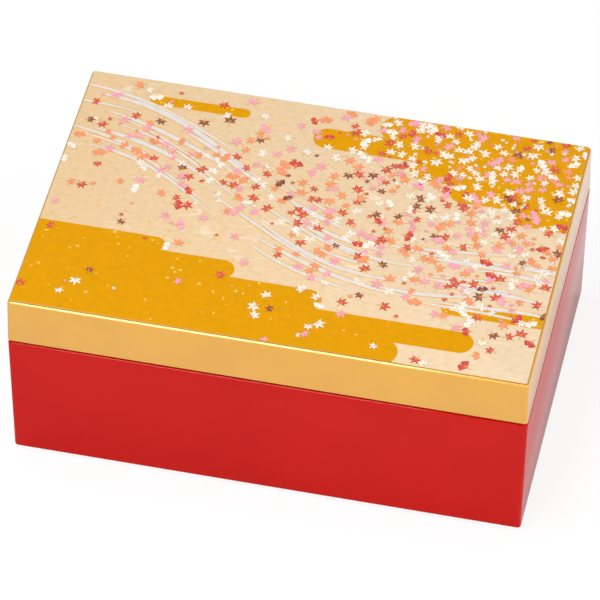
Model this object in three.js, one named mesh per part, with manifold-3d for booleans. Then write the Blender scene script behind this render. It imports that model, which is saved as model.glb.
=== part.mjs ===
// Lacquered trinket box: a red wooden base and a gilded wooden lid on two brass stop hinges.
// Millimetres, +Z up, +X to the right and -Y to the front. The origin is the centre of the
// underside, on the surface that the box stands on.

import * as THREE from "three";
import { mergeVertices } from "three/addons/utils/BufferGeometryUtils.js";
import Module from "manifold-3d";

// Outside of the box
const boxWidth = 180; // left to right, at the seam
const boxDepth = 120; // front to back, at the seam
const boxHeight = 72; // table to the top of the picture panel
const lidHeight = 19; // lid's rim to the top of the picture panel
const seamGap = 0.5; // between the rims of base and lid
const baseTaper = 0.6; // each wall of the base leans in by this at the foot
const lidTaper = 0.3; // each wall of the lid leans in by this at the top
const cornerRadius = 1.5; // upright corners, in plan
const edgeRadius = 1; // foot of the base and top of the lid
const rimRadius = 0.5; // outer edges of the two rims

// Boards
const wall = 7; // front, back and side boards
const bottomBoard = 4;
const topBoard = 4;
const rebate = 3.5; // bottom and top boards are let into the walls by this
const boardPlay = 0.15; // around a board that is let in
const glueLine = 0.1; // in the mitred corners
const seat = 0.05; // between faces that bear on each other

// Picture panel on the lid
const panelThickness = 0.5;
const panelMargin = 0.25; // panel to where the lid's edge starts to round
const panelCorner = 0.8;

// Linings and felt
const baseLining = 2; // velvet on card, on the base's walls
const lidLining = 1.5; // velvet on card, on the lid's walls
const liningDrop = 3; // rim to the edge of a wall lining
const liningPlay = 0.3; // between neighbouring linings
const floorPad = 3; // velvet over foam, on the floor
const lidPad = 2.5; // velvet over foam, under the top board
const padCorner = 1.2;
const padEdge = 0.8;
const felt = 1; // sheet that the box stands on
const feltInset = 4; // foot of the base to the edge of the felt
const feltCorner = 3;

// Bumpers on the front rim
const bumperRadius = 2.2;
const bumperInset = 12; // outside of the box to a bumper's middle

// Hinges
const hingeInset = 35; // outside of the box to a hinge's middle
const hingeLength = 30;
const leafThickness = 1.2;
const leafShoulder = 1.4; // wood left between a leaf and the inside of the wall
const leafPlay = 0.15; // around a leaf in its mortise
const knuckleRadius = 2.2;
const middleKnuckle = 10; // length of the lid leaf's knuckle
const knucklePlay = 0.3; // between neighbouring knuckles
const barrelGap = 0.3; // back of the box to the barrel
const pinRadius = 1;
const pinPlay = 0.06;
const pinEnd = 0.8; // pin stands out of the barrel by this
const stopAngle = 95; // degrees that the lid opens
const heelReach = 3; // heel behind the hinge's axis
const stopGap = 0.15; // heel to the opened lid

// Hinge screws, countersunk
const screwSpacing = 18;
const screwLength = 9;
const screwHeadRadius = 1.9;
const screwShankRadius = 0.9;
const screwHeadLand = 0.1; // straight edge of the head
const screwTip = 2;
const screwPlay = 0.12;
const slotWidth = 0.6;
const slotDepth = 0.5;

// Facets
const cornerSteps = 5; // in a quarter turn in plan
const edgeSteps = 3; // in a quarter turn of a rounded edge
const roundSides = 24;
const cutMargin = 5; // cutters reach past what they cut by this

// Places that follow from the sizes
const halfWidth = boxWidth / 2;
const halfDepth = boxDepth / 2;
const baseRim = boxHeight - lidHeight - seamGap;
const lidRim = boxHeight - lidHeight;
const lidBoards = lidHeight - panelThickness - seat; // height of the lid's boards
const roomHalfWidth = halfWidth - wall;
const roomHalfDepth = halfDepth - wall;
const floorHeight = felt + seat + bottomBoard + seat; // top of the bottom board, with its seat
const ceilingHeight = lidBoards - topBoard - seat; // underside of the top board, from the lid's rim
const leafDepth = wall - leafShoulder;
const axisBehind = knuckleRadius + barrelGap; // back of the box to the hinge's axis
const hingeY = halfDepth + axisBehind;
const hingeZ = baseRim + seamGap / 2;
const outerKnuckle = (hingeLength - middleKnuckle) / 2 - knucklePlay;

const wasm = await Module();
wasm.setup();

const materials = {
  redLacquer: finish(0xcb2a23, 0.18, 0),
  goldLacquer: finish(0xe9b05c, 0.3, 0.6),
  goldLeaf: finish(0xefd3a8, 0.4, 0.5),
  bareBoard: finish(0xb08a5a, 0.8, 0),
  velvet: finish(0x5e0f1c, 0.95, 0),
  felt: finish(0x2b2526, 0.95, 0),
  rubber: finish(0xd8d2c6, 0.7, 0),
  brass: finish(0xc9a04e, 0.3, 1),
};

function finish(color, roughness, metalness) {
  return new THREE.MeshStandardMaterial({ color, roughness, metalness });
}

// A three.js geometry as a closed solid for cutting and joining.
function solid(geometry) {
  const bare = geometry.clone();
  bare.deleteAttribute("normal");
  bare.deleteAttribute("uv");
  const merged = mergeVertices(bare);
  return new wasm.Manifold(
    new wasm.Mesh({
      numProp: 3,
      vertProperties: merged.attributes.position.array,
      triVerts: new Uint32Array(merged.index.array),
    }),
  );
}

// A named mesh made from a solid.
function piece(name, shape, material) {
  const { vertProperties, triVerts } = shape.getMesh();
  const geometry = new THREE.BufferGeometry();
  geometry.setAttribute("position", new THREE.BufferAttribute(vertProperties, 3));
  geometry.setIndex(new THREE.BufferAttribute(triVerts, 1));
  geometry.computeVertexNormals();
  const mesh = new THREE.Mesh(geometry, material);
  mesh.name = name;
  return mesh;
}

// A box between two corners.
function block(low, high) {
  const from = new THREE.Vector3(...low);
  const to = new THREE.Vector3(...high);
  const size = to.clone().sub(from);
  const middle = from.clone().add(to).divideScalar(2);
  return solid(new THREE.BoxGeometry(...size.toArray()).translate(...middle.toArray()));
}

// A cylinder along X, centred on the origin.
function rod(radius, length) {
  const geometry = new THREE.CylinderGeometry(radius, radius, length, roundSides);
  return solid(geometry.rotateZ(Math.PI / 2));
}

// A solid turned about Z from a profile of [radius, height] points, listed from the bottom up.
function turned(profile) {
  const points = profile.map(([radius, height]) => new THREE.Vector2(radius, height));
  return solid(new THREE.LatheGeometry(points, roundSides).rotateX(Math.PI / 2));
}

// A prism between two places along X, from an outline of [y, z] points.
function prismAlongX(outline, fromX, toX) {
  const shape = new THREE.Shape(outline.map(([y, z]) => new THREE.Vector2(y, z)));
  const geometry = new THREE.ExtrudeGeometry(shape, { depth: toX - fromX, bevelEnabled: false });
  const turn = new THREE.Matrix4().makeBasis(
    new THREE.Vector3(0, 1, 0),
    new THREE.Vector3(0, 0, 1),
    new THREE.Vector3(1, 0, 0),
  );
  return solid(geometry.applyMatrix4(turn).translate(fromX, 0, 0));
}

// The points of a rounded rectangle round the origin, counter-clockwise.
function roundedOutline(halfX, halfY, radius) {
  const corners = [
    [1, 1, 0],
    [-1, 1, 1],
    [-1, -1, 2],
    [1, -1, 3],
  ];
  return corners.flatMap(([sideX, sideY, quarter]) =>
    Array.from({ length: cornerSteps + 1 }, (_, step) => {
      const angle = (quarter + step / cornerSteps) * (Math.PI / 2);
      return [
        sideX * (halfX - radius) + radius * Math.cos(angle),
        sideY * (halfY - radius) + radius * Math.sin(angle),
      ];
    }),
  );
}

// A solid through a stack of rounded rectangles, each { z, halfX, halfY, radius }, from the bottom up.
function lofted(rings) {
  const outlines = rings.map((ring) => roundedOutline(ring.halfX, ring.halfY, ring.radius));
  const count = outlines[0].length;
  const positions = outlines.flatMap((outline, i) =>
    outline.flatMap(([x, y]) => [x, y, rings[i].z]),
  );
  const faces = [];
  const last = (rings.length - 1) * count;
  for (let i = 1; i < count - 1; i++) {
    faces.push(0, i + 1, i);
    faces.push(last, last + i, last + i + 1);
  }
  for (let level = 0; level < rings.length - 1; level++) {
    for (let i = 0; i < count; i++) {
      const a = level * count + i;
      const b = level * count + ((i + 1) % count);
      faces.push(a, b, b + count);
      faces.push(a, b + count, a + count);
    }
  }
  const geometry = new THREE.BufferGeometry();
  geometry.setAttribute("position", new THREE.Float32BufferAttribute(positions, 3));
  geometry.setIndex(faces);
  return solid(geometry);
}

// A block with rounded upright corners, rounded foot and top edges, and walls that lean in.
// The foot and the top are each { z, halfX, halfY, edge }, with edge the radius of that edge.
function roundedBlock(foot, top, radius) {
  const ring = (end, angle, side) => {
    const pulledIn = end.edge * (1 - Math.cos(angle));
    return {
      z: end.z + side * end.edge * (1 - Math.sin(angle)),
      halfX: end.halfX - pulledIn,
      halfY: end.halfY - pulledIn,
      radius: Math.max(radius - pulledIn, 0),
    };
  };
  const turns = Array.from({ length: edgeSteps + 1 }, (_, i) => (i / edgeSteps) * (Math.PI / 2));
  const footRings = [...turns].reverse().map((angle) => ring(foot, angle, 1));
  const topRings = turns.map((angle) => ring(top, angle, -1));
  return lofted([...footRings, ...topRings]);
}

// A sheet with rounded corners in plan, between two heights.
function sheet(halfX, halfY, radius, fromZ, toZ) {
  const ring = { halfX, halfY, radius };
  return lofted([
    { ...ring, z: fromZ },
    { ...ring, z: toZ },
  ]);
}

// A pad with square edges where it is glued down and rounded edges on its soft side.
function pad(halfX, halfY, thickness) {
  return roundedBlock(
    { z: 0, halfX, halfY, edge: 0 },
    { z: thickness, halfX, halfY, edge: padEdge },
    padCorner,
  );
}

// The part of a frame of walls that one board makes, cut off by the mitres at its two ends.
// The board's outside lies towards -Y before it is turned about Z by the number of quarters.
function mitredBoard(frame, quarters, fromZ, toZ) {
  const turnedAcross = quarters % 2 === 1;
  const halfLength = turnedAcross ? halfDepth : halfWidth;
  const outside = turnedAcross ? halfWidth : halfDepth;
  const inside = wall + cutMargin;
  const mitre = glueLine / Math.SQRT2;
  const outline = new THREE.Shape([
    new THREE.Vector2(-halfLength - cutMargin + mitre, -outside - cutMargin),
    new THREE.Vector2(halfLength + cutMargin - mitre, -outside - cutMargin),
    new THREE.Vector2(halfLength - inside - mitre, -outside + inside),
    new THREE.Vector2(-halfLength + inside + mitre, -outside + inside),
  ]);
  const depth = toZ - fromZ + 2 * cutMargin;
  const wedge = new THREE.ExtrudeGeometry(outline, { depth, bevelEnabled: false });
  wedge.translate(0, 0, fromZ - cutMargin).rotateZ(quarters * (Math.PI / 2));
  return frame.intersect(solid(wedge));
}

// The four boards of a frame, named for their sides.
function frameBoards(prefix, frame, fromZ, toZ, material) {
  return ["front", "right", "back", "left"].map((side, quarters) =>
    piece(`${prefix}_${side}_board`, mitredBoard(frame, quarters, fromZ, toZ), material),
  );
}

// The four linings of a room's walls: front and back run the full width, the sides fit between them.
function wallLinings(prefix, thickness, fromZ, toZ) {
  const outerX = roomHalfWidth - seat;
  const outerY = roomHalfDepth - seat;
  const sideHalf = outerY - thickness - liningPlay;
  const across = block([-outerX, -outerY, fromZ], [outerX, -outerY + thickness, toZ]);
  const along = block([-outerX, -sideHalf, fromZ], [-outerX + thickness, sideHalf, toZ]);
  return [
    piece(`${prefix}_front_lining`, across, materials.velvet),
    piece(`${prefix}_back_lining`, across.mirror([0, 1, 0]), materials.velvet),
    piece(`${prefix}_left_lining`, along, materials.velvet),
    piece(`${prefix}_right_lining`, along.mirror([1, 0, 0]), materials.velvet),
  ];
}

// One hinge screw, or with play the hole that it goes in. The head's face is at z = 0 and the
// point is below. The hole runs on past the head by its play.
function screwBody(play) {
  const head = screwHeadRadius + play;
  const shank = screwShankRadius + play;
  const neck = screwHeadLand + screwHeadRadius - screwShankRadius;
  return turned([
    [0, -screwLength - play],
    [shank, -screwLength + screwTip],
    [shank, -neck],
    [head, -screwHeadLand],
    [head, play],
    [0, play],
  ]);
}

function screw() {
  const half = slotWidth / 2;
  const slot = block(
    [-screwHeadRadius - cutMargin, -half, -slotDepth],
    [screwHeadRadius + cutMargin, half, cutMargin],
  );
  return screwBody(0).subtract(slot);
}

// Where the hinges and their screws are, from the middle of the box and of the hinge.
const hingeSides = [
  { side: "left", x: hingeInset - halfWidth },
  { side: "right", x: halfWidth - hingeInset },
];
const screwPlaces = [-screwSpacing / 2, screwSpacing / 2];
const screwBehind = -axisBehind - leafDepth / 2; // from the hinge's axis

// The mortises and screw holes of both hinges in a back board. Facing is 1 for the base, whose
// rim looks up, and -1 for the lid, whose rim is at z = 0 and looks down.
function hingeCuts(rim, facing) {
  const cuts = hingeSides.flatMap(({ x }) => {
    const reach = hingeLength / 2 + leafPlay;
    const front = halfDepth - leafDepth - leafPlay;
    const bed = rim - facing * (leafThickness + seat);
    const past = rim + facing * cutMargin;
    const mortise = block(
      [x - reach, front, Math.min(bed, past)],
      [x + reach, halfDepth + cutMargin, Math.max(bed, past)],
    );
    const holes = screwPlaces.map((place) => {
      const hole = facing > 0 ? screwBody(screwPlay) : screwBody(screwPlay).mirror([0, 0, 1]);
      return hole.translate(x + place, hingeY + screwBehind, rim);
    });
    return [mortise, ...holes];
  });
  return wasm.Manifold.union(cuts);
}

// Base: four mitred boards, a bottom board let in from below, a felt sheet and the linings
function baseFrame() {
  const foot = felt + seat;
  const outside = roundedBlock(
    { z: foot, halfX: halfWidth - baseTaper, halfY: halfDepth - baseTaper, edge: edgeRadius },
    { z: baseRim, halfX: halfWidth, halfY: halfDepth, edge: rimRadius },
    cornerRadius,
  );
  const room = block(
    [-roomHalfWidth, -roomHalfDepth, foot - cutMargin],
    [roomHalfWidth, roomHalfDepth, baseRim + cutMargin],
  );
  const letIn = block(
    [-roomHalfWidth - rebate, -roomHalfDepth - rebate, foot - cutMargin],
    [roomHalfWidth + rebate, roomHalfDepth + rebate, floorHeight],
  );
  return outside.subtract(room).subtract(letIn).subtract(hingeCuts(baseRim, 1));
}

function letInBoard(thickness) {
  const halfX = roomHalfWidth + rebate - boardPlay;
  const halfY = roomHalfDepth + rebate - boardPlay;
  return block([-halfX, -halfY, 0], [halfX, halfY, thickness]);
}

function buildBase() {
  const group = new THREE.Group();
  group.add(...frameBoards("base", baseFrame(), felt, baseRim, materials.redLacquer));

  const bottom = piece("base_bottom_board", letInBoard(bottomBoard), materials.bareBoard);
  bottom.position.z = felt + seat;
  group.add(bottom);

  const feltHalfX = halfWidth - baseTaper - feltInset;
  const feltHalfY = halfDepth - baseTaper - feltInset;
  const feltSolid = sheet(feltHalfX, feltHalfY, feltCorner, 0, felt);
  group.add(piece("base_felt_sheet", feltSolid, materials.felt));

  group.add(...wallLinings("base", baseLining, floorHeight, baseRim - liningDrop));

  const cushion = pad(
    roomHalfWidth - baseLining - liningPlay,
    roomHalfDepth - baseLining - liningPlay,
    floorPad,
  );
  const floor = piece("base_floor_pad", cushion, materials.velvet);
  floor.position.z = floorHeight;
  group.add(floor);

  const bumperHeight = seamGap - 2 * seat;
  for (const [side, sign] of [
    ["left", -1],
    ["right", 1],
  ]) {
    const dot = turned([
      [0, 0],
      [bumperRadius, 0],
      [bumperRadius, bumperHeight],
      [0, bumperHeight],
    ]);
    const bumper = piece(`front_bumper_${side}`, dot, materials.rubber);
    bumper.position.set(sign * (halfWidth - bumperInset), -halfDepth + wall / 2, baseRim + seat);
    group.add(bumper);
  }
  return group;
}

// Lid: four mitred boards, a top board let in from above, the picture panel and the linings
function lidFrame() {
  const outside = roundedBlock(
    { z: 0, halfX: halfWidth, halfY: halfDepth, edge: rimRadius },
    { z: lidBoards, halfX: halfWidth - lidTaper, halfY: halfDepth - lidTaper, edge: edgeRadius },
    cornerRadius,
  );
  const room = block(
    [-roomHalfWidth, -roomHalfDepth, -cutMargin],
    [roomHalfWidth, roomHalfDepth, lidBoards + cutMargin],
  );
  const letIn = block(
    [-roomHalfWidth - rebate, -roomHalfDepth - rebate, ceilingHeight],
    [roomHalfWidth + rebate, roomHalfDepth + rebate, lidBoards + cutMargin],
  );
  return outside.subtract(room).subtract(letIn).subtract(hingeCuts(0, -1));
}

function buildLid() {
  const group = new THREE.Group();
  group.position.z = lidRim;
  group.add(...frameBoards("lid", lidFrame(), 0, lidBoards, materials.goldLacquer));

  const top = piece("lid_top_board", letInBoard(topBoard), materials.bareBoard);
  top.position.z = lidBoards - topBoard;
  group.add(top);

  const panelInset = lidTaper + edgeRadius + panelMargin;
  const panel = sheet(
    halfWidth - panelInset,
    halfDepth - panelInset,
    panelCorner,
    lidHeight - panelThickness,
    lidHeight,
  );
  group.add(piece("lid_picture_panel", panel, materials.goldLeaf));

  group.add(...wallLinings("lid", lidLining, liningDrop, ceilingHeight));

  const cushion = pad(
    roomHalfWidth - lidLining - liningPlay,
    roomHalfDepth - lidLining - liningPlay,
    lidPad,
  );
  const ceiling = piece("lid_ceiling_pad", cushion, materials.velvet);
  ceiling.rotation.x = Math.PI;
  ceiling.position.z = ceilingHeight;
  group.add(ceiling);
  return group;
}

// A hinge leaf about the hinge's axis: a plate in the wall's rim and the knuckles that it carries,
// each { from, to } along X. Facing is -1 for the base's leaf, below the seam, and 1 for the lid's.
function leaf(knuckles, facing, heel) {
  const near = facing * (seamGap / 2);
  const far = facing * (seamGap / 2 + leafThickness);
  const low = Math.min(near, far);
  const high = Math.max(near, far);
  const back = -axisBehind;
  const plate = block(
    [-hingeLength / 2, back - leafDepth, low],
    [hingeLength / 2, back, high],
  );
  const parts = knuckles.flatMap(({ from, to }) => {
    const barrel = rod(knuckleRadius, to - from).translate((from + to) / 2, 0, 0);
    const web = block([from, back - leafPlay, low], [to, 0, high]);
    return heel ? [barrel, web, prismAlongX(heel, from, to)] : [barrel, web];
  });
  const bore = rod(pinRadius + pinPlay, hingeLength + cutMargin);
  const holes = screwPlaces.map((place) => {
    const hole = facing < 0 ? screwBody(screwPlay) : screwBody(screwPlay).mirror([0, 0, 1]);
    return hole.translate(place, screwBehind, near);
  });
  return wasm.Manifold.union([plate, ...parts])
    .subtract(bore)
    .subtract(wasm.Manifold.union(holes));
}

// The outline in Y and Z of the heel that the back of the opened lid comes to rest on
function heelOutline() {
  const lean = THREE.MathUtils.degToRad(stopAngle - 90);
  const height = axisBehind - stopGap;
  const topAt = (y) => (height - y * Math.sin(lean)) / Math.cos(lean);
  const underside = -(seamGap / 2 + leafThickness);
  return [
    [0, underside],
    [heelReach, underside],
    [heelReach, topAt(heelReach)],
    [0, topAt(0)],
  ];
}

function hingePin() {
  const half = hingeLength / 2 + pinEnd;
  const rounding = pinRadius / 2;
  const profile = [
    [0, -half],
    [pinRadius - rounding, -half],
    [pinRadius, -half + rounding],
    [pinRadius, half - rounding],
    [pinRadius - rounding, half],
    [0, half],
  ];
  return turned(profile).rotate([0, 90, 0]);
}

// One hinge: two leaves on a pin, with two screws in each leaf
function buildHinge(side) {
  const group = new THREE.Group();
  const outer = { from: -hingeLength / 2, to: -hingeLength / 2 + outerKnuckle };
  const otherOuter = { from: -outer.to, to: -outer.from };
  const middle = { from: -middleKnuckle / 2, to: middleKnuckle / 2 };
  const baseLeaf = leaf([outer, otherOuter], -1, heelOutline());
  const lidLeaf = leaf([middle], 1, null);
  group.add(piece(`${side}_hinge_base_leaf`, baseLeaf, materials.brass));
  group.add(piece(`${side}_hinge_lid_leaf`, lidLeaf, materials.brass));
  group.add(piece(`${side}_hinge_pin`, hingePin(), materials.brass));

  for (const [i, place] of screwPlaces.entries()) {
    const down = piece(`${side}_hinge_base_screw_${i + 1}`, screw(), materials.brass);
    down.position.set(place, screwBehind, -seamGap / 2);
    const up = piece(`${side}_hinge_lid_screw_${i + 1}`, screw(), materials.brass);
    up.position.set(place, screwBehind, seamGap / 2);
    up.rotation.x = Math.PI;
    group.add(down, up);
  }
  return group;
}

const box = new THREE.Group();
box.add(buildBase());
box.add(buildLid());
for (const { side, x } of hingeSides) {
  const hinge = buildHinge(side);
  hinge.position.set(x, hingeY, hingeZ);
  box.add(hinge);
}

export default box;
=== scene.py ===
"""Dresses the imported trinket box: lacquer shells, a picture panel, velvet linings and brass hinges."""

import logging
import math
import random
from contextlib import contextmanager
from dataclasses import dataclass, field
from enum import Enum
from typing import Callable, Iterator

import bmesh
import bpy
from mathutils import Matrix, Vector


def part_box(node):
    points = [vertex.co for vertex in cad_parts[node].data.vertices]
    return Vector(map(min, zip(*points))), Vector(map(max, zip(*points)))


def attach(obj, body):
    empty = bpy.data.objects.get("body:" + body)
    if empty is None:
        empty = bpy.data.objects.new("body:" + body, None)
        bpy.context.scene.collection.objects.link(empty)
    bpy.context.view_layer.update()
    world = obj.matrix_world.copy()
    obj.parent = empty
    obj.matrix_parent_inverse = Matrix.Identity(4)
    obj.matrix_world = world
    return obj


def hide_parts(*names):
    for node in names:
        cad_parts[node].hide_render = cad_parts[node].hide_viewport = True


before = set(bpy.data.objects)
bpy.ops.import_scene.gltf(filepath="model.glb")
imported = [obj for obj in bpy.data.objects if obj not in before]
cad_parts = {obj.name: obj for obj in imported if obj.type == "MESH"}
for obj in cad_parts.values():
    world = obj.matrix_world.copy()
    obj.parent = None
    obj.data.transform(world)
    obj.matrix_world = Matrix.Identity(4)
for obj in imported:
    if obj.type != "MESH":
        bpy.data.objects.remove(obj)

MM = 0.001
# Points whose heights differ by less than this count as level.
NEAR = 0.01 * MM
LOG = logging.getLogger("trinket_box")
Pair = tuple[float, float]
Triple = tuple[float, float, float]
Colour = Triple
Stops = tuple[tuple[float, Colour], ...]
Socket = bpy.types.NodeSocket
Piece = bpy.types.Object
Material = bpy.types.Material


class Value:
    """One output socket of a node, with operators that add Math nodes behind it."""

    def __init__(self, shader: "Shader", socket: Socket) -> None:
        """Keeps the socket and the shader that it belongs to."""
        self.shader = shader
        self.socket = socket

    def _math(self, operation: str, other: "Value | float") -> "Value":
        """Adds one Math node behind this value and gives its result."""
        return self.shader.add("ShaderNodeMath", {0: self, 1: other}, {"operation": operation})

    def __add__(self, other: "Value | float") -> "Value":
        """The sum."""
        return self._math("ADD", other)

    def __sub__(self, other: "Value | float") -> "Value":
        """The difference."""
        return self._math("SUBTRACT", other)

    def __mul__(self, other: "Value | float") -> "Value":
        """The product."""
        return self._math("MULTIPLY", other)

    def __abs__(self) -> "Value":
        """The value without its sign."""
        return self._math("ABSOLUTE", 0.0)

    def largest(self, other: "Value") -> "Value":
        """The larger of two values."""
        return self._math("MAXIMUM", other)

    def between(self, low: float, high: float) -> "Value":
        """Moves a value that runs from 0 to 1 into a range."""
        return self * (high - low) + low


class Shader:
    """A material or world whose nodes are added one by one."""

    NOISE_ROUGHNESS = 0.55

    def __init__(self, tree: bpy.types.NodeTree) -> None:
        """Empties the node tree and keeps it."""
        self.tree = tree
        tree.nodes.clear()

    @classmethod
    def of_material(cls, name: str) -> tuple["Shader", Material]:
        """Makes a new material.

        Args:
            name: the material's name.

        Returns:
            Its shader and the material.
        """
        material = bpy.data.materials.new(name)
        material.use_nodes = True
        return cls(material.node_tree), material

    def add(
        self,
        kind: str,
        inputs: dict[str | int, object] | None = None,
        settings: dict[str, object] | None = None,
        output: str | int = 0,
    ) -> Value | None:
        """Adds a node, sets it up and connects it.

        Args:
            kind: the node's type.
            inputs: values or links by the socket's name or number.
            settings: the node's own properties, with a ramp's stops under "stops".
            output: the socket that is handed back.

        Returns:
            That output, or nothing where the node has none.
        """
        node = self.tree.nodes.new(kind)
        for key, setting in (settings or {}).items():
            if key == "stops":
                self._set_stops(node, setting)
            else:
                setattr(node, key, setting)
        for key, given in (inputs or {}).items():
            if isinstance(given, Value):
                self.tree.links.new(given.socket, node.inputs[key])
            elif isinstance(given, tuple) and node.inputs[key].type == "RGBA" and len(given) == 3:
                node.inputs[key].default_value = (*given, 1.0)
            else:
                node.inputs[key].default_value = given
        return Value(self, node.outputs[output]) if node.outputs else None

    @staticmethod
    def _set_stops(node: bpy.types.Node, stops: Stops) -> None:
        """Gives a colour ramp its stops.

        Args:
            node: the ramp.
            stops: place and colour of each stop, in order.
        """
        elements = node.color_ramp.elements
        while len(elements) < len(stops):
            elements.new(1.0)
        for element, (place, colour) in zip(elements, stops):
            element.position = place
            element.color = (*colour, 1.0)

    def place(self, stretch: Triple = (1.0, 1.0, 1.0)) -> Value:
        """Gives the point on the piece in its own frame, with its axes stretched."""
        point = self.add("ShaderNodeTexCoord", output="Object")
        return self.add("ShaderNodeMapping", {"Vector": point, "Scale": stretch})

    def along(self, axis: str) -> Value:
        """Gives one coordinate of the point on the piece, in metres."""
        return self.add("ShaderNodeSeparateXYZ", {"Vector": self.place()}, output=axis)

    def noise(self, size: float, detail: float = 3.0, stretch: Triple = (1.0, 1.0, 1.0)) -> Value:
        """Gives a soft random value.

        Args:
            size: the size of a blotch, in metres.
            detail: octaves of finer noise.
            stretch: how much finer it is along each axis.

        Returns:
            The value, from 0 to 1.
        """
        inputs = {
            "Vector": self.place(stretch),
            "Scale": 1.0 / size,
            "Detail": detail,
            "Roughness": self.NOISE_ROUGHNESS,
        }
        return self.add("ShaderNodeTexNoise", inputs, output="Fac")

    def ramp(self, value: Value, stops: Stops) -> Value:
        """Turns a value from 0 to 1 into a colour, by the place and colour of each stop."""
        return self.add("ShaderNodeValToRGB", {"Fac": value}, {"stops": stops})

    def tint(self, value: Value, colour: Colour, shades: Pair, places: Pair = (0.3, 0.7)) -> Value:
        """Turns a value into shades of one colour, by a factor at a low and at a high place."""
        darker, lighter = (tuple(min(1.0, part * factor) for part in colour) for factor in shades)
        return self.ramp(value, ((places[0], darker), (places[1], lighter)))

    def mix(
        self, share: Value | float, first: Value | Colour, second: Value | Colour, way: str = "MIX"
    ) -> Value:
        """Mixes two colours, by the share of the second and the Mix node's blend type."""
        settings = {"data_type": "RGBA", "blend_type": way, "clamp_factor": True}
        return self.add("ShaderNodeMix", {0: share, 6: first, 7: second}, settings, 2)

    def fade(self, value: Value, none: float, full: float) -> Value:
        """Turns a value into a share, which is 0 at one level, 1 at another and held between."""
        return self.add("ShaderNodeMapRange", {"Value": value, "From Min": none, "From Max": full})

    def bump(self, height: Value, depth: float, strength: float) -> Value:
        """Turns a height from 0 to 1 into a normal, by its depth in metres and how much of it shows."""
        inputs = {"Height": height, "Distance": depth, "Strength": strength}
        return self.add("ShaderNodeBump", inputs, output="Normal")

    def surface(self, inputs: dict[str | int, object]) -> None:
        """Ends a material with the standard surface, whose inputs go by the socket's name."""
        surface = self.add("ShaderNodeBsdfPrincipled", inputs)
        self.add("ShaderNodeOutputMaterial", {"Surface": surface})


@dataclass(frozen=True)
class Grain:
    """A soft random value, which may be mixed with a share of another."""

    size: float
    detail: float = 3.0
    stretch: Triple = (1.0, 1.0, 1.0)
    other: "Grain | None" = None
    share: float = 0.0

    def on(self, shader: Shader) -> Value:
        """Adds the value to a shader.

        Args:
            shader: the finish's shader.

        Returns:
            The value, from 0 to 1.
        """
        own = shader.noise(self.size, self.detail, self.stretch)
        if self.other is None:
            return own
        return own * (1 - self.share) + self.other.on(shader) * self.share


@dataclass(frozen=True)
class Finish:
    """A finish whose colour, gloss and relief follow grains, and whose other inputs are even."""

    name: str
    colour: Colour
    shades: Pair
    tone: Grain
    relief: Grain
    depth: float
    strength: float
    roughness: Pair
    gloss: Grain | None = None
    places: Pair = (0.3, 0.7)
    even: tuple[tuple[str, float | Colour], ...] = ()

    def base(self, shader: Shader) -> Value:
        """Gives the colour of the surface."""
        return shader.tint(self.tone.on(shader), self.colour, self.shades, self.places)

    def material(self) -> Material:
        """Builds the material.

        Returns:
            The material.
        """
        shader, material = Shader.of_material(self.name)
        relief = self.relief.on(shader)
        gloss = self.gloss.on(shader) if self.gloss else relief
        low, high = self.roughness
        shader.surface(
            {
                "Base Color": self.base(shader),
                "Roughness": gloss.between(low, high) if high > low else low,
                "Normal": shader.bump(relief, self.depth, self.strength),
                **dict(self.even),
            }
        )
        return material


# Polished vermilion lacquer with the slight waver of hand-rubbed coats.
RED_LACQUER = Finish(
    name="red_lacquer",
    colour=(0.53, 0.0035, 0.0006),
    shades=(0.94, 1.05),
    tone=Grain(45 * MM, 4.0),
    gloss=Grain(0.5 * MM, 2.0),
    relief=Grain(9 * MM, 2.0),
    depth=0.012 * MM,
    strength=0.4,
    roughness=(0.02, 0.1),
    even=(("IOR", 1.28),),
)

# Wine-red velvet with a short brushed pile.
VELVET = Finish(
    name="wine_velvet",
    colour=(0.115, 0.006, 0.014),
    shades=(0.7, 1.5),
    tone=Grain(14 * MM, 3.0, (1.0, 0.5, 1.0), Grain(0.35 * MM, 2.0), 0.4),
    relief=Grain(0.35 * MM, 2.0),
    depth=0.12 * MM,
    strength=0.7,
    roughness=(0.95, 0.95),
    even=(
        ("Specular IOR Level", 0.2),
        ("Sheen Weight", 0.45),
        ("Sheen Roughness", 0.4),
        ("Sheen Tint", (0.75, 0.18, 0.22)),
    ),
)

# Dark pressed felt with matted fibres.
MATTED = Grain(0.5 * MM, 4.0, (1.0, 0.3, 1.0), Grain(0.5 * MM, 4.0, (0.3, 1.0, 1.0)), 0.5)
FELT = Finish(
    name="dark_felt",
    colour=(0.024, 0.019, 0.02),
    shades=(0.6, 1.8),
    places=(0.35, 0.65),
    tone=MATTED,
    relief=MATTED,
    depth=0.15 * MM,
    strength=0.8,
    roughness=(1.0, 1.0),
    even=(("Sheen Weight", 0.2),),
)

# Polished brass with a little tarnish and fine drawing lines along the hinge.
BRASS = Finish(
    name="brass",
    colour=(0.56, 0.39, 0.15),
    shades=(0.88, 1.0),
    places=(0.35, 0.6),
    tone=Grain(6 * MM),
    relief=Grain(0.12 * MM, 1.0, (0.04, 1.0, 1.0)),
    depth=0.002 * MM,
    strength=0.3,
    roughness=(0.28, 0.4),
    even=(("Metallic", 1.0),),
)

# Sanded board with long grain.
BARE_BOARD = Finish(
    name="bare_board",
    colour=(0.42, 0.25, 0.11),
    shades=(0.75, 1.2),
    tone=Grain(3 * MM, 5.0, (0.08, 1.0, 1.0)),
    relief=Grain(3 * MM, 5.0, (0.08, 1.0, 1.0)),
    depth=0.05 * MM,
    strength=0.5,
    roughness=(0.65, 0.85),
)

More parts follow.
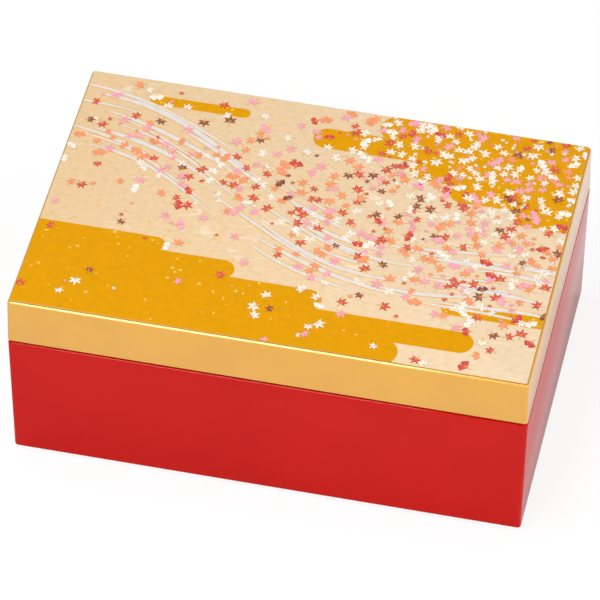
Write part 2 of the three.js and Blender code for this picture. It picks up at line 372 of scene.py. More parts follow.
# Milky soft rubber.
SOFT_RUBBER = Finish(
    name="soft_rubber",
    colour=(0.68, 0.64, 0.56),
    shades=(0.92, 1.06),
    tone=Grain(1.0 * MM),
    relief=Grain(1.0 * MM),
    depth=0.02 * MM,
    strength=0.4,
    roughness=(0.45, 0.6),
)


@dataclass(frozen=True)
class GoldLacquer(Finish):
    """Satin gold lacquer: fine metal powder under a clear coat, with painted shade in bronze along the
    top edge.
    """

    name: str = "gold_lacquer"
    colour: Colour = (0.78, 0.385, 0.03)
    shades: Pair = (0.95, 1.05)
    places: Pair = (0.25, 0.75)
    tone: Grain = Grain(30 * MM, 4.0)
    relief: Grain = Grain(0.25 * MM, 1.0)
    depth: float = 0.01 * MM
    strength: float = 0.12
    roughness: Pair = (0.15, 0.27)
    even: tuple[tuple[str, float | Colour], ...] = (
        ("Metallic", 0.25),
        ("Coat Weight", 0.65),
        ("Coat Roughness", 0.06),
        ("Coat IOR", 1.7),
    )
    top: float = 0.0
    # Painted shade: the upper part of the top edge's rounding is drawn darker, in bronze.
    edge_shade_colour: Colour = (0.5, 0.26, 0.015)
    edge_shade_start: float = 0.2 * MM
    edge_shade_end: float = 0.08 * MM

    def base(self, shader: Shader) -> Value:
        """Gives the gold, darkened to bronze along the top edge as painted shade."""
        edge_shade = shader.fade(shader.along("Z"), self.top - self.edge_shade_start, self.top - self.edge_shade_end)
        return shader.mix(edge_shade, super().base(shader), self.edge_shade_colour)


@dataclass(frozen=True)
class ChampagneLeaf:
    """Pale gold leaf laid by hand, mottled and creased, paler towards the right as painted light, over a
    panel whose sides are darkened to bronze as painted shade.
    """

    top: float
    colour: Colour = (0.74, 0.53, 0.295)
    drift_and_sheen_colour: Colour = (0.75, 0.59, 0.4)
    crease_colour: Colour = (0.84, 0.72, 0.55)
    side_shade_colour: Colour = (0.54, 0.27, 0.008)
    side_shade_start: float = 0.06 * MM
    side_shade_end: float = 0.12 * MM
    half_width: float = 88 * MM
    drift_and_sheen_share: float = 0.5
    drift_size: float = 38 * MM
    drift_stretch: Triple = (0.6, 1.0, 1.0)
    fibre_size: float = 0.55 * MM
    fibre_stretch: Triple = (0.3, 1.0, 1.0)
    fibre_share: float = 0.35
    blotch_size: float = 1.9 * MM
    blotch_stretch: Triple = (0.7, 1.0, 1.0)
    mottling: Stops = (
        (0.32, (0.86, 0.82, 0.74)),
        (0.44, (0.95, 0.925, 0.87)),
        (0.54, (0.99, 0.955, 0.95)),
        (0.66, (1.0, 1.0, 1.0)),
    )
    mottle_depth: float = 0.05 * MM
    mottle_strength: float = 0.5
    crease_size: float = 17 * MM
    crease_stretch: Triple = (0.35, 1.0, 1.0)
    crease_fade: Pair = (0.012, 0.002)
    crease_share: float = 0.6
    break_size: float = 12 * MM
    break_fade: Pair = (0.5, 0.62)
    metal: float = 0.08
    roughness: Pair = (0.36, 0.54)

    def _creases(self, shader: Shader) -> Value:
        """Finds the fine folds of the leaf: broken lines that wander along the panel.

        Args:
            shader: the leaf's shader.

        Returns:
            1 on a fold and 0 beside it.
        """
        away = abs(shader.noise(self.crease_size, 2.0, self.crease_stretch) - 0.5)
        broken = shader.noise(self.break_size, 2.0)
        return shader.fade(away, *self.crease_fade) * shader.fade(broken, *self.break_fade)

    def material(self) -> Material:
        """Builds the material.

        Returns:
            The material.
        """
        shader, material = Shader.of_material("champagne_leaf")
        drift = shader.noise(self.drift_size, 3.0, self.drift_stretch)
        # Painted light: the leaf pales towards the right like a sheen from the back right, on top of the
        # random drift.
        across = shader.along("X") * (self.drift_and_sheen_share / self.half_width) + self.drift_and_sheen_share / 2
        ground = shader.mix(across + drift * self.drift_and_sheen_share, self.colour, self.drift_and_sheen_colour)
        fibre = shader.noise(self.fibre_size, 3.0, self.fibre_stretch)
        blotch = shader.noise(self.blotch_size, 4.0, self.blotch_stretch)
        mottle = fibre * self.fibre_share + blotch * (1 - self.fibre_share)
        leaf = shader.mix(1.0, ground, shader.ramp(mottle, self.mottling), "MULTIPLY")
        folded = shader.mix(self._creases(shader) * self.crease_share, leaf, self.crease_colour)
        # Painted shade: the panel's sides below the top rounding are drawn dark bronze.
        edge = shader.fade(shader.along("Z"), self.top - self.side_shade_start, self.top - self.side_shade_end)
        shader.surface(
            {
                "Base Color": shader.mix(edge, folded, self.side_shade_colour),
                "Metallic": self.metal,
                "Roughness": fibre.between(*self.roughness),
                "Normal": shader.bump(mottle, self.mottle_depth, self.mottle_strength),
            }
        )
        return material


@dataclass(frozen=True)
class Paint:
    """Thin coloured paint or foil laid over the leaf."""

    name: str
    colour: Colour
    gloss: float = 0.4
    metal: float = 0.0
    uneven: float = 0.06
    shine: float = 0.5
    glossier: float = 0.06
    duller: float = 0.08
    blotch: Grain = Grain(2.2 * MM)
    brush: Grain = Grain(0.4 * MM, 2.0, (0.4, 1.0, 1.0))
    brush_depth: float = 0.01 * MM
    brush_strength: float = 0.3

    def material(self) -> Material:
        """Builds the material.

        Returns:
            The material.
        """
        return Finish(
            name=self.name,
            colour=self.colour,
            shades=(1 - self.uneven, 1 + self.uneven),
            tone=self.blotch,
            relief=self.brush,
            depth=self.brush_depth,
            strength=self.brush_strength,
            roughness=(self.gloss - self.glossier, self.gloss + self.duller),
            even=(("Metallic", self.metal), ("Specular IOR Level", self.shine)),
        ).material()


class Bench:
    """The modelling tools, each acting on one object."""

    @staticmethod
    def pick(piece: Piece) -> None:
        """Selects one object and nothing else.

        Args:
            piece: the object.
        """
        bpy.ops.object.select_all(action="DESELECT")
        piece.select_set(True)
        bpy.context.view_layer.objects.active = piece

    @staticmethod
    @contextmanager
    def editing(piece: Piece) -> Iterator[None]:
        """Opens an object in edit mode with nothing selected, and closes it again.

        Args:
            piece: the object to edit.

        Returns:
            Nothing while it is open.
        """
        Bench.pick(piece)
        bpy.ops.object.mode_set(mode="EDIT")
        bpy.ops.mesh.select_mode(type="VERT")
        bpy.ops.mesh.select_all(action="DESELECT")
        yield
        bpy.ops.object.mode_set(mode="OBJECT")

    @staticmethod
    def select_edges(piece: Piece, test: Callable[[Vector, Vector], bool]) -> None:
        """Selects the edges whose two ends pass a test.

        Args:
            piece: the object that is open in edit mode.
            test: says whether an edge between two points is meant.
        """
        mesh = bmesh.from_edit_mesh(piece.data)
        bpy.ops.mesh.select_mode(type="EDGE")
        bpy.ops.mesh.select_all(action="DESELECT")
        for edge in mesh.edges:
            edge.select_set(test(edge.verts[0].co, edge.verts[1].co))
        bmesh.update_edit_mesh(piece.data)

    @staticmethod
    def select_points(piece: Piece, test: Callable[[Vector], bool]) -> None:
        """Selects the points that pass a test.

        Args:
            piece: the object that is open in edit mode.
            test: says whether a point is meant.
        """
        mesh = bmesh.from_edit_mesh(piece.data)
        bpy.ops.mesh.select_mode(type="VERT")
        bpy.ops.mesh.select_all(action="DESELECT")
        for point in mesh.verts:
            point.select_set(test(point.co))
        mesh.select_flush_mode()
        bmesh.update_edit_mesh(piece.data)

    @staticmethod
    def round_upright(piece: Piece, radius: float, steps: int) -> None:
        """Rounds the upright edges of an object that is open in edit mode."""
        Bench.select_edges(piece, lambda a, b: abs(a.z - b.z) > NEAR)
        bpy.ops.mesh.bevel(offset=radius, segments=steps, affect="EDGES")

    @staticmethod
    def round_level(piece: Piece, height: float, radius: float, steps: int) -> None:
        """Rounds the edges at one height of an object that is open in edit mode."""
        Bench.select_edges(piece, lambda a, b: max(abs(a.z - height), abs(b.z - height)) < NEAR)
        bpy.ops.mesh.bevel(offset=radius, segments=steps, affect="EDGES")

    @staticmethod
    def settle(piece: Piece) -> None:
        """Moves an object's place, turn and size into its mesh."""
        Bench.pick(piece)
        bpy.ops.object.transform_apply(location=True, rotation=True, scale=True)

    @staticmethod
    def block(name: str, low: Vector, high: Vector) -> Piece:
        """Adds a block between two corners.

        Args:
            name: the object's name.
            low: its lowest corner.
            high: its highest corner.

        Returns:
            The block.
        """
        bpy.ops.mesh.primitive_cube_add(size=1.0, location=(low + high) / 2)
        piece = bpy.context.active_object
        piece.name = name
        piece.scale = high - low
        Bench.settle(piece)
        return piece

    @staticmethod
    def apply(piece: Piece) -> None:
        """Applies all of an object's modifiers in order.

        Args:
            piece: the object.
        """
        Bench.pick(piece)
        for modifier in list(piece.modifiers):
            bpy.ops.object.modifier_apply(modifier=modifier.name)

    @staticmethod
    def modify(piece: Piece, kind: str, **settings: object) -> None:
        """Adds a modifier and applies it.

        Args:
            piece: the object.
            kind: the modifier's type.
            settings: the modifier's own properties.
        """
        modifier = piece.modifiers.new(kind.lower(), kind)
        for name, setting in settings.items():
            setattr(modifier, name, setting)
        Bench.apply(piece)

    @staticmethod
    def cut(piece: Piece, cutter: Piece) -> None:
        """Cuts one object out of another and removes the cutter."""
        Bench.modify(piece, "BOOLEAN", operation="DIFFERENCE", solver="EXACT", object=cutter)
        bpy.data.objects.remove(cutter)

    @staticmethod
    def smooth(piece: Piece, angle: float = 35.0) -> None:
        """Shades an object smoothly apart from its sharp edges."""
        Bench.pick(piece)
        bpy.ops.object.shade_smooth_by_angle(angle=math.radians(angle))

    @staticmethod
    def copy(piece: Piece, placing: Matrix) -> Piece:
        """Copies an object, mesh and all, and puts the copy's place into its mesh.

        Args:
            piece: what is copied.
            placing: where the copy goes.

        Returns:
            The copy.
        """
        twin = piece.copy()
        twin.data = piece.data.copy()
        twin.data.transform(placing)
        bpy.context.scene.collection.objects.link(twin)
        return twin

    @staticmethod
    def join(name: str, pieces: list[Piece]) -> Piece:
        """Joins several objects into one.

        Args:
            name: the name of the whole.
            pieces: the objects.

        Returns:
            The whole.
        """
        bpy.ops.object.select_all(action="DESELECT")
        for piece in pieces:
            piece.select_set(True)
        bpy.context.view_layer.objects.active = pieces[0]
        if len(pieces) > 1:
            bpy.ops.object.join()
        whole = bpy.context.view_layer.objects.active
        whole.name = name
        return whole

    @staticmethod
    def dress(piece: Piece, material: Material, body: str, slot: str) -> None:
        """Gives a finished piece its material and the body that it moves with.

        Args:
            piece: the finished piece.
            material: its material.
            body: the body that it rides on.
            slot: a material slot's name, which is not used.
        """
        piece.data.materials.clear()
        piece.data.materials.append(material)
        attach(piece, body)
        LOG.info("%s rides on %s with %d faces", piece.name, body, len(piece.data.polygons))


def joint_box(nodes: list[str]) -> tuple[Vector, Vector]:
    """Gives the box round several nodes.

    Args:
        nodes: the nodes' names.

    Returns:
        The lowest and the highest corner.
    """
    boxes = [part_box(node) for node in nodes]
    low = Vector(map(min, *[low for low, _ in boxes]))
    high = Vector(map(max, *[high for _, high in boxes]))
    return low, high


class Rim(Enum):
    """The way that a shell's open rim looks."""

    UP = 1
    DOWN = -1


@dataclass
class LacquerShell:
    """The four lacquered walls of the base or the lid, with no joint showing at the corners."""

    body: str
    slot: str
    rim: Rim
    let_in: str
    taper: float
    finish: Finish
    wall: float = 7 * MM
    corner_radius: float = 1.5 * MM
    corner_steps: int = 8
    edge_radius: float = 1.0 * MM
    edge_steps: int = 6
    rim_radius: float = 0.5 * MM
    rim_steps: int = 4
    inner_radius: float = 0.2 * MM
    inner_steps: int = 2
    inner_angle: float = 60.0
    leaf_thickness: float = 1.2 * MM
    play: float = 0.15 * MM
    seat: float = 0.05 * MM
    reach: float = 5 * MM

    def build(self) -> None:
        """Models the shell, dresses it and puts it in the place of its four boards."""
        boards = [f"{self.body}_{side}_board" for side in ("front", "right", "back", "left")]
        low, high = joint_box(boards)
        shell = Bench.block(f"{self.body}_shell", low, high)
        self._round(shell, low, high)
        self._hollow(shell, low, high)
        for side in ("left", "right"):
            self._mortise(shell, f"{side}_hinge_{self.body}_leaf", low, high)
        Bench.modify(
            shell,
            "BEVEL",
            width=self.inner_radius,
            segments=self.inner_steps,
            limit_method="ANGLE",
            angle_limit=math.radians(self.inner_angle),
        )
        Bench.smooth(shell)
        Bench.dress(shell, self.finish.material(), self.body, self.slot)
        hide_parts(*boards)

    def _round(self, shell: Piece, low: Vector, high: Vector) -> None:
        """Leans the walls in and rounds the outer edges.

        Args:
            shell: the plain block.
            low: its lowest corner.
            high: its highest corner.
        """
        closed, opened = (low.z, high.z) if self.rim is Rim.UP else (high.z, low.z)
        half = (high - low) / 2
        lean = (1 - self.taper / half.x, 1 - self.taper / half.y, 1.0)
        with Bench.editing(shell):
            Bench.select_points(shell, lambda point: abs(point.z - closed) < NEAR)
            bpy.ops.transform.resize(value=lean, center_override=(0.0, 0.0, closed))
            Bench.round_upright(shell, self.corner_radius, self.corner_steps)
            Bench.round_level(shell, closed, self.edge_radius, self.edge_steps)
            Bench.round_level(shell, opened, self.rim_radius, self.rim_steps)

    def _hollow(self, shell: Piece, low: Vector, high: Vector) -> None:
        """Cuts the room and the rebate of the board that is let in.

        Args:
            shell: the rounded block.
            low: its lowest corner.
            high: its highest corner.
        """
        inset = Vector((self.wall, self.wall, -self.reach))
        Bench.cut(shell, Bench.block("room", low + inset, high - inset))
        board_low, board_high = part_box(self.let_in)
        side = Vector((self.play, self.play, 0.0))
        rebate_low, rebate_high = board_low - side, board_high + side
        if self.rim is Rim.UP:
            rebate_low.z -= self.reach
            rebate_high.z += self.seat
        else:
            rebate_low.z -= self.seat
            rebate_high.z += self.reach
        Bench.cut(shell, Bench.block("rebate", rebate_low, rebate_high))

    def _mortise(self, shell: Piece, leaf: str, low: Vector, high: Vector) -> None:
        """Cuts the bed of one hinge leaf into the back wall's rim.

        Args:
            shell: the hollow shell.
            leaf: the leaf's node.
            low: the shell's lowest corner.
            high: the shell's highest corner.
        """
        leaf_low, leaf_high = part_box(leaf)
        deep = self.leaf_thickness + self.seat
        bed_low = high.z - deep if self.rim is Rim.UP else low.z - self.reach
        bed_high = high.z + self.reach if self.rim is Rim.UP else low.z + deep
        corner = Vector((leaf_low.x - self.play, leaf_low.y - self.play, bed_low))
        other = Vector((leaf_high.x + self.play, high.y + self.reach, bed_high))
        Bench.cut(shell, Bench.block("mortise", corner, other))


@dataclass
class PicturePanel:
    """The thin leafed panel on top of the lid."""

    node: str = "lid_picture_panel"
    overlap: float = 0.5 * MM
    corner_radius: float = 0.5 * MM
    corner_steps: int = 6
    edge_radius: float = 0.12 * MM
    edge_steps: int = 4

    def build(self) -> None:
        """Models the panel and dresses it."""
        low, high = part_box(self.node)
        wider = Vector((self.overlap, self.overlap, 0.0))
        panel = Bench.block("picture_panel", low - wider, high + wider)
        with Bench.editing(panel):
            Bench.round_upright(panel, self.corner_radius, self.corner_steps)
            Bench.round_level(panel, high.z, self.edge_radius, self.edge_steps)
        Bench.smooth(panel)
        Bench.dress(panel, ChampagneLeaf(high.z).material(), "lid", "gold_leaf")
        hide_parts(self.node)


@dataclass(frozen=True)
class Lobe:
    """One lobe of a leaf: its turn from the tip and half its spread, in degrees, and its length."""

    turn: float
    length: float
    spread: float


@dataclass(frozen=True)
class LeafShape:
    """A leaf of unit size: lobes round the point where the stalk joins."""

    lobes: tuple[Lobe, ...]
    shoulder: float
    notch: float
    stalk: float
    stalk_base: float = 0.1
    stalk_spread: float = 12.0

    def outline(self) -> list[tuple[float, float]]:
        """Works out the corners of the outline.

        Returns:
            The turn in degrees and the distance of each corner, from the tip all the way round.
        """
        corners: list[tuple[float, float]] = []
        for number, lobe in enumerate(self.lobes):
            side = lobe.length * self.shoulder
            if number > 0:
                before = self.lobes[number - 1]
                gap = (before.turn + before.spread + lobe.turn - lobe.spread) / 2
                corners.append((gap, self.notch))
                corners.append((lobe.turn - lobe.spread, side))
            corners.append((lobe.turn, lobe.length))
            corners.append((lobe.turn + lobe.spread, side))
        corners.append((180 - self.stalk_spread, self.stalk_base))
        mirrored = [(360 - turn, distance) for turn, distance in reversed(corners[1:])]
        return corners + [(180.0, self.stalk)] + mirrored


class LeafKind(Enum):
    """The kinds of leaf that drift over the picture, by their lobes from the tip down one side."""

    MAPLE = LeafShape(
        (Lobe(0, 1.0, 14), Lobe(48, 0.93, 15), Lobe(100, 0.7, 16)), shoulder=0.62, notch=0.42, stalk=0.8
    )
    FAN = LeafShape(
        (Lobe(0, 0.62, 3), Lobe(25, 1.0, 13), Lobe(58, 0.94, 13)), shoulder=0.98, notch=0.9, stalk=0.6
    )


@dataclass(frozen=True)
class LeafColour:
    """One colour of leaf: its paint, and its share on the haze and on the pale ground."""

    paint: Paint
    on_haze: float
    on_ground: float


@dataclass(frozen=True)
class HazeBand:
    """One band of haze, in millimetres on the panel."""

    left: float
    right: float
    y: float
    thick: float

    def holds(self, spot: Vector) -> bool:
        """Says whether a place on the panel lies on the band."""
        x, y = spot.x / MM, spot.y / MM
        return self.left < x < self.right and abs(y - self.y) < self.thick / 2


@dataclass
class RiverPicture:
    """The painted design: haze bands, a stream drawn in strokes, gold flakes and drifting leaves."""

    seed: int = 7
    leaf_count: int = 720
    flake_count: int = 190
    paint: float = 0.05 * MM
    overlap: float = 0.44 * MM
    stroke_steps: int = 26
    stream_lines: int = 10
    stream_step: float = 3.1 * MM
    stroke_edge: float = 0.26 * MM
    stroke_overrun: float = 0.0013
    stroke_levels: int = 3
    haze_lift: float = 0.012 * MM
    haze_rise: float = 0.0025 * MM
    flake_lift: float = 0.045 * MM
    stroke_lift: float = 0.055 * MM
    stroke_rise: float = 0.008 * MM
    leaf_lift: float = 0.085 * MM
    leaf_rise: float = 0.06 * MM
    large_leaf: Pair = (2.2 * MM, 3.2 * MM)
    small_leaf: Pair = (0.9 * MM, 1.5 * MM)
    small_share: float = 0.15
    fan_share: float = 0.2
    leaf_edge: float = 0.06
    dome: float = 0.25
    edge_sunk: float = 0.054
    vein_reach: float = 0.86
    vein_sides: int = 4
    vein_radii: Pair = (0.03, 0.008)
    vein_lift: float = 0.06
    # Flakes, in millimetres on the panel and in shares of a flake or a band.
    flake_clip: float = 0.25
    flake_reach: float = 88.0
    flake_overrun: float = 14.0
    flake_spread: Pair = (0.5, 0.6)
    flake_size: Pair = (0.4, 1.25)
    flake_shape: Pair = (0.6, 1.0)
    # The stream's middle line, in millimetres on the panel and in turns along it.
    stream_from: Pair = (-96.0, 32.0)
    stream_run: Pair = (192.0, -60.0)
    stream_bend: float = 10.0
    stream_turns: float = 1.15
    stream_phase: float = 0.08
    # Strokes, in shares of the stream's length, with their widths in millimetres.
    stroke_start: Pair = (-0.05, 0.1)
    stroke_last: float = 0.98
    stroke_length: Pair = (0.14, 0.36)
    stroke_width: Pair = (0.9, 2.3)
    stroke_gap: Pair = (0.02, 0.08)
    stroke_waver: float = 1.1 * MM
    waver_turns: float = 2.1
    waver_phase: float = 90.0
    swell_power: float = 0.8
    least_swell: float = 0.02
    look_ahead: float = 0.002
    # How thickly leaves lie, with the picture running from -1 to 1 both ways.
    bough_middle: Pair = (0.82, 0.66)
    bough_spread: Pair = (0.52, 0.56)
    bough_weight: float = 1.5
    drift_line: Pair = (0.6, 1.02)
    drift_spread: float = 0.26
    drift_growth: Pair = (0.2, 0.55)
    drift_weight: float = 0.5
    stray_share: float = 0.02
    leaf_spacing: float = 0.5
    most_tries: int = 60000
    bands: tuple[HazeBand, ...] = (
        HazeBand(-110, 44, -55, 13),
        HazeBand(-110, 68, -45, 10),
        HazeBand(-110, 14, -36.5, 10),
        HazeBand(-110, -18, -28.5, 9),
        HazeBand(-110, -44, -21.5, 7),
        HazeBand(16, 110, 53, 13),
        HazeBand(-6, 110, 43, 10),
        HazeBand(30, 110, 34.5, 10),
        HazeBand(46, 110, 26, 9),
        HazeBand(70, 110, 18.5, 8),
        HazeBand(-66, -30, 49, 4.5),
        HazeBand(54, 110, -30, 6),
    )
    gold_line: Paint = Paint("gold_line", (0.76, 0.37, 0.03), 0.36, 0.3, 0.08)
    colours: dict[str, LeafColour] = field(
        default_factory=lambda: {
            "white": LeafColour(Paint("white_paint", (0.83, 0.81, 0.73), 0.42), 0.5, 0.2),
            "pink": LeafColour(Paint("pink_paint", (0.8, 0.33, 0.44), 0.42, uneven=0.14), 0.25, 0.26),
            "salmon": LeafColour(
                Paint("salmon_paint", (0.79, 0.26, 0.13), 0.42, uneven=0.12), 0.05, 0.23
            ),
            "red": LeafColour(Paint("red_paint", (0.55, 0.024, 0.035), 0.4, uneven=0.12), 0.14, 0.24),
            "maroon": LeafColour(Paint("maroon_paint", (0.16, 0.012, 0.025), 0.4), 0.06, 0.07),
        }
    )

    def __post_init__(self) -> None:
        """Reads the panel's place and starts the random draws."""
        self.low, self.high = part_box("lid_picture_panel")
        self.top = self.high.z
        self.random = random.Random(self.seed)

    def build(self) -> None:
        """Models every layer of the design, from the panel up."""
        self._haze()
        self._flakes()
        self._stream()
        self._leaves()

    def _finish(self, piece: Piece, paint: Paint) -> None:
        """Trims a layer to the panel and dresses it.

        Args:
            piece: the layer.
            paint: its paint.
        """
        wider = Vector((self.overlap, self.overlap, 0.0))
        low, high = self.low - wider, self.high + wider
        edges = [
            (low, (-1.0, 0.0, 0.0)),
            (low, (0.0, -1.0, 0.0)),
            (high, (1.0, 0.0, 0.0)),
            (high, (0.0, 1.0, 0.0)),
        ]
        with Bench.editing(piece):
            for place, outward in edges:
                bpy.ops.mesh.select_all(action="SELECT")
                bpy.ops.mesh.bisect(
                    plane_co=place, plane_no=outward, use_fill=True, clear_outer=True
                )
        Bench.dress(piece, paint.material(), "lid", "gold_leaf")

    def _band(self, band: HazeBand, lift: float) -> Piece:
        """Models one haze band: a long shape with round ends.

        Args:
            band: its place on the panel.
            lift: how far its top stands above the panel.

        Returns:
            The band.
        """
        radius = band.thick * MM / 2
        middle = band.left * MM + radius
        bpy.ops.mesh.primitive_circle_add(
            vertices=48,
            radius=radius,
            fill_type="NGON",
            location=(middle, band.y * MM, self.top - self.paint),
        )
        piece = bpy.context.active_object
        Bench.settle(piece)
        with Bench.editing(piece):
            Bench.select_points(piece, lambda point: point.x > middle + radius * 0.01)
            bpy.ops.transform.translate(value=((band.right - band.left - band.thick) * MM, 0.0, 0.0))
            bpy.ops.mesh.select_all(action="SELECT")
            rise = {"value": (0.0, 0.0, self.paint + lift)}
            bpy.ops.mesh.extrude_region_move(TRANSFORM_OT_translate=rise)
            bpy.ops.mesh.select_all(action="SELECT")
            bpy.ops.mesh.normals_make_consistent(inside=False)
        return piece

    def _haze(self) -> None:
        """Models the amber haze bands, each a hair higher than the one before."""
        pieces = [
            self._band(band, self.haze_lift + self.haze_rise * number)
            for number, band in enumerate(self.bands)
        ]
        haze = Bench.join("haze_bands", pieces)
        self._finish(haze, Paint("amber_foil", (0.66, 0.293, 0.0005), 0.42, 0.05, 0.05, shine=0.05))

    def _flakes(self) -> None:
        """Models one square flake of gold leaf and strews copies of it round the haze."""
        bpy.ops.mesh.primitive_plane_add(size=1.0)
        model = bpy.context.active_object
        with Bench.editing(model):
            Bench.select_points(model, lambda point: point.x > 0 and point.y > 0)
            bpy.ops.mesh.bevel(offset=self.flake_clip, affect="VERTICES")
        self._thicken(model)
        flakes = []
        for _ in range(self.flake_count):
            band = self.random.choice(self.bands)
            left = max(band.left, -self.flake_reach)
            right = min(band.right + self.flake_overrun, self.flake_reach)
            x = self.random.uniform(left, right) * MM
            y = (band.y + band.thick * self.random.gauss(*self.flake_spread)) * MM
            size = self.random.uniform(*self.flake_size) * MM
            lift = self.flake_lift + self.random.uniform(0.0, self.haze_rise)
            turn = Matrix.Rotation(self.random.uniform(0, math.tau), 4, "Z")
            width = size * self.random.uniform(*self.flake_shape)
            spread = Matrix.Diagonal((size, width, self.paint + lift, 1.0))
            flakes.append(Bench.copy(model, Matrix.Translation((x, y, self.top + lift)) @ turn @ spread))
        bpy.data.objects.remove(model)
        gold = Paint("bright_gold", (0.9, 0.56, 0.13), 0.3, 1.0)
        self._finish(Bench.join("gold_flakes", flakes), gold)

    def _middle(self, along: float) -> Vector:
        """Gives a point on the stream's middle line.

        Args:
            along: from 0 at the upper left to 1 at the lower right.

        Returns:
            The point, on the panel.
        """
        bend = self.stream_bend * math.sin(math.tau * (self.stream_turns * along + self.stream_phase))
        x = self.stream_from[0] + self.stream_run[0] * along
        y = self.stream_from[1] + self.stream_run[1] * along + bend
        return Vector((x * MM, y * MM, self.top))

    def _stroke(
        self, offset: float, start: float, end: float, width: float, lift: float
    ) -> Piece:
        """Models one stroke of the stream as a flat ribbon, pointed at both ends.

        Args:
            offset: how far it runs from the middle line.
            start: where it starts along the stream.
            end: where it ends.
            width: its full width.
            lift: how far its top stands above the panel.

        Returns:
            The stroke.
        """
        bpy.ops.mesh.primitive_grid_add(x_subdivisions=self.stroke_steps, y_subdivisions=1, size=1.0)
        stroke = bpy.context.active_object
        for point in stroke.data.vertices:
            share = point.co.x + 0.5
            along = start + (end - start) * share
            here, ahead = self._middle(along), self._middle(along + self.look_ahead)
            across = Vector((here.y - ahead.y, ahead.x - here.x, 0.0)).normalized()
            turns = self.waver_turns * along + offset * self.waver_phase
            waver = self.stroke_waver * math.sin(math.tau * turns)
            power = self.swell_power
            swell = max(math.sin(math.pi * share ** power) ** power, self.least_swell)
            side = offset + waver + point.co.y * width * swell
            point.co = here + across * side + Vector((0.0, 0.0, lift))
        self._thicken(stroke, self.paint + lift)
        return stroke

    def _stream(self) -> None:
        """Models the stream: broken silver strokes side by side, each with a gold edge."""
        strokes, edges = [], []
        for line in range(self.stream_lines):
            offset = (line - (self.stream_lines - 1) / 2) * self.stream_step
            along = self.random.uniform(*self.stroke_start)
            while along < self.stroke_last:
                length = self.random.uniform(*self.stroke_length)
                width = self.random.uniform(*self.stroke_width) * MM
                end = along + length
                lift = self.stroke_lift + self.stroke_rise * (line % self.stroke_levels)
                strokes.append(self._stroke(offset, along, end, width, lift))
                start, end = along - self.stroke_overrun, end + self.stroke_overrun
                below = lift - self.stroke_rise / 2
                edges.append(self._stroke(offset, start, end, width + 2 * self.stroke_edge, below))
                along = end + self.random.uniform(*self.stroke_gap)
        self._finish(Bench.join("stream_edges", edges), self.gold_line)
        silver = Paint("silver_foil", (0.66, 0.64, 0.615), 0.36, 0.12, 0.05)
        self._finish(Bench.join("stream_strokes", strokes), silver)

    @staticmethod
    def _blade(shape: LeafShape) -> Piece:
        """Models a leaf's flat blade from a disc.

        Args:
            shape: its outline.

        Returns:
            The blade, at the origin, with its tip towards +Y.
        """
        corners = shape.outline()
        bpy.ops.mesh.primitive_circle_add(vertices=len(corners), radius=1.0, fill_type="TRIFAN")
        blade = bpy.context.active_object
        step = math.tau / len(corners)
        for point in blade.data.vertices:
            if point.co.length > 0.5:
                number = round(math.atan2(point.co.x, point.co.y) / step) % len(corners)
                turn, distance = math.radians(corners[number][0]), corners[number][1]
                point.co = (math.sin(turn) * distance, math.cos(turn) * distance, 0.0)
        return blade

    @staticmethod
    def _thicken(piece: Piece, depth: float = 1.0) -> None:
        """Gives a flat piece a thickness below it."""
        Bench.modify(piece, "SOLIDIFY", thickness=depth, offset=-1.0)

    def _leaf(self, shape: LeafShape) -> Piece:
        """Models the coloured part of one leaf, slightly domed.

        Args:
            shape: its outline.

        Returns:
            The leaf.
        """
        leaf = self._blade(shape)
        self._thicken(leaf)
        with Bench.editing(leaf):
            Bench.select_points(leaf, lambda point: point.xy.length < 0.02 and point.z > -0.5)
            bpy.ops.transform.translate(value=(0.0, 0.0, self.dome))
        return leaf

    def _line_work(self, shape: LeafShape) -> Piece:
        """Models the gold lines of one leaf: its edge, which lies under it, and its veins.

        Args:
            shape: the leaf's outline.

        Returns:
            The lines.
        """
        edge = self._blade(shape)
        with Bench.editing(edge):
            bpy.ops.mesh.select_all(action="SELECT")
            bpy.ops.mesh.inset(thickness=self.leaf_edge, use_outset=True, use_even_offset=False)
            bpy.ops.mesh.select_all(action="SELECT")
            bpy.ops.mesh.dissolve_limited(angle_limit=math.radians(1))
        self._thicken(edge)
        edge.data.transform(Matrix.Translation((0.0, 0.0, -self.edge_sunk)))
        pieces = [edge]
        for lobe in shape.lobes:
            for side in (-1, 1) if lobe.turn else (1,):
                turn = math.radians(lobe.turn * side)
                tip = Vector((math.sin(turn), math.cos(turn), 0.0)) * lobe.length * self.vein_reach
                root = Vector((0.0, 0.0, self.dome))
                bpy.ops.mesh.primitive_cone_add(
                    vertices=self.vein_sides,
                    radius1=self.vein_radii[0],
                    radius2=self.vein_radii[1],
                    depth=(tip - root).length,
                    location=(root + tip) / 2 + Vector((0.0, 0.0, self.vein_lift)),
                    rotation=(tip - root).to_track_quat("Z", "Y").to_euler(),
                )
                vein = bpy.context.active_object
                Bench.settle(vein)
                pieces.append(vein)
        return Bench.join("line_work", pieces)

    def _density(self, x: float, y: float) -> float:
        """Says how thickly leaves lie at a place.

        Args:
            x: across the picture, from -1 to 1.
            y: up the picture, from -1 to 1.

        Returns:
            A share from 0 to 1.
        """
        away_x = (x - self.bough_middle[0]) / self.bough_spread[0]
        away_y = (y - self.bough_middle[1]) / self.bough_spread[1]
        bough = math.exp(-(away_x ** 2) - away_y ** 2)
        along = (x + 1) / 2
        away = (y - (self.drift_line[0] - self.drift_line[1] * along)) / self.drift_spread
        drift = math.exp(-(away ** 2)) * (self.drift_growth[0] + self.drift_growth[1] * along)
        return min(1.0, self.bough_weight * bough + self.drift_weight * drift + self.stray_share)

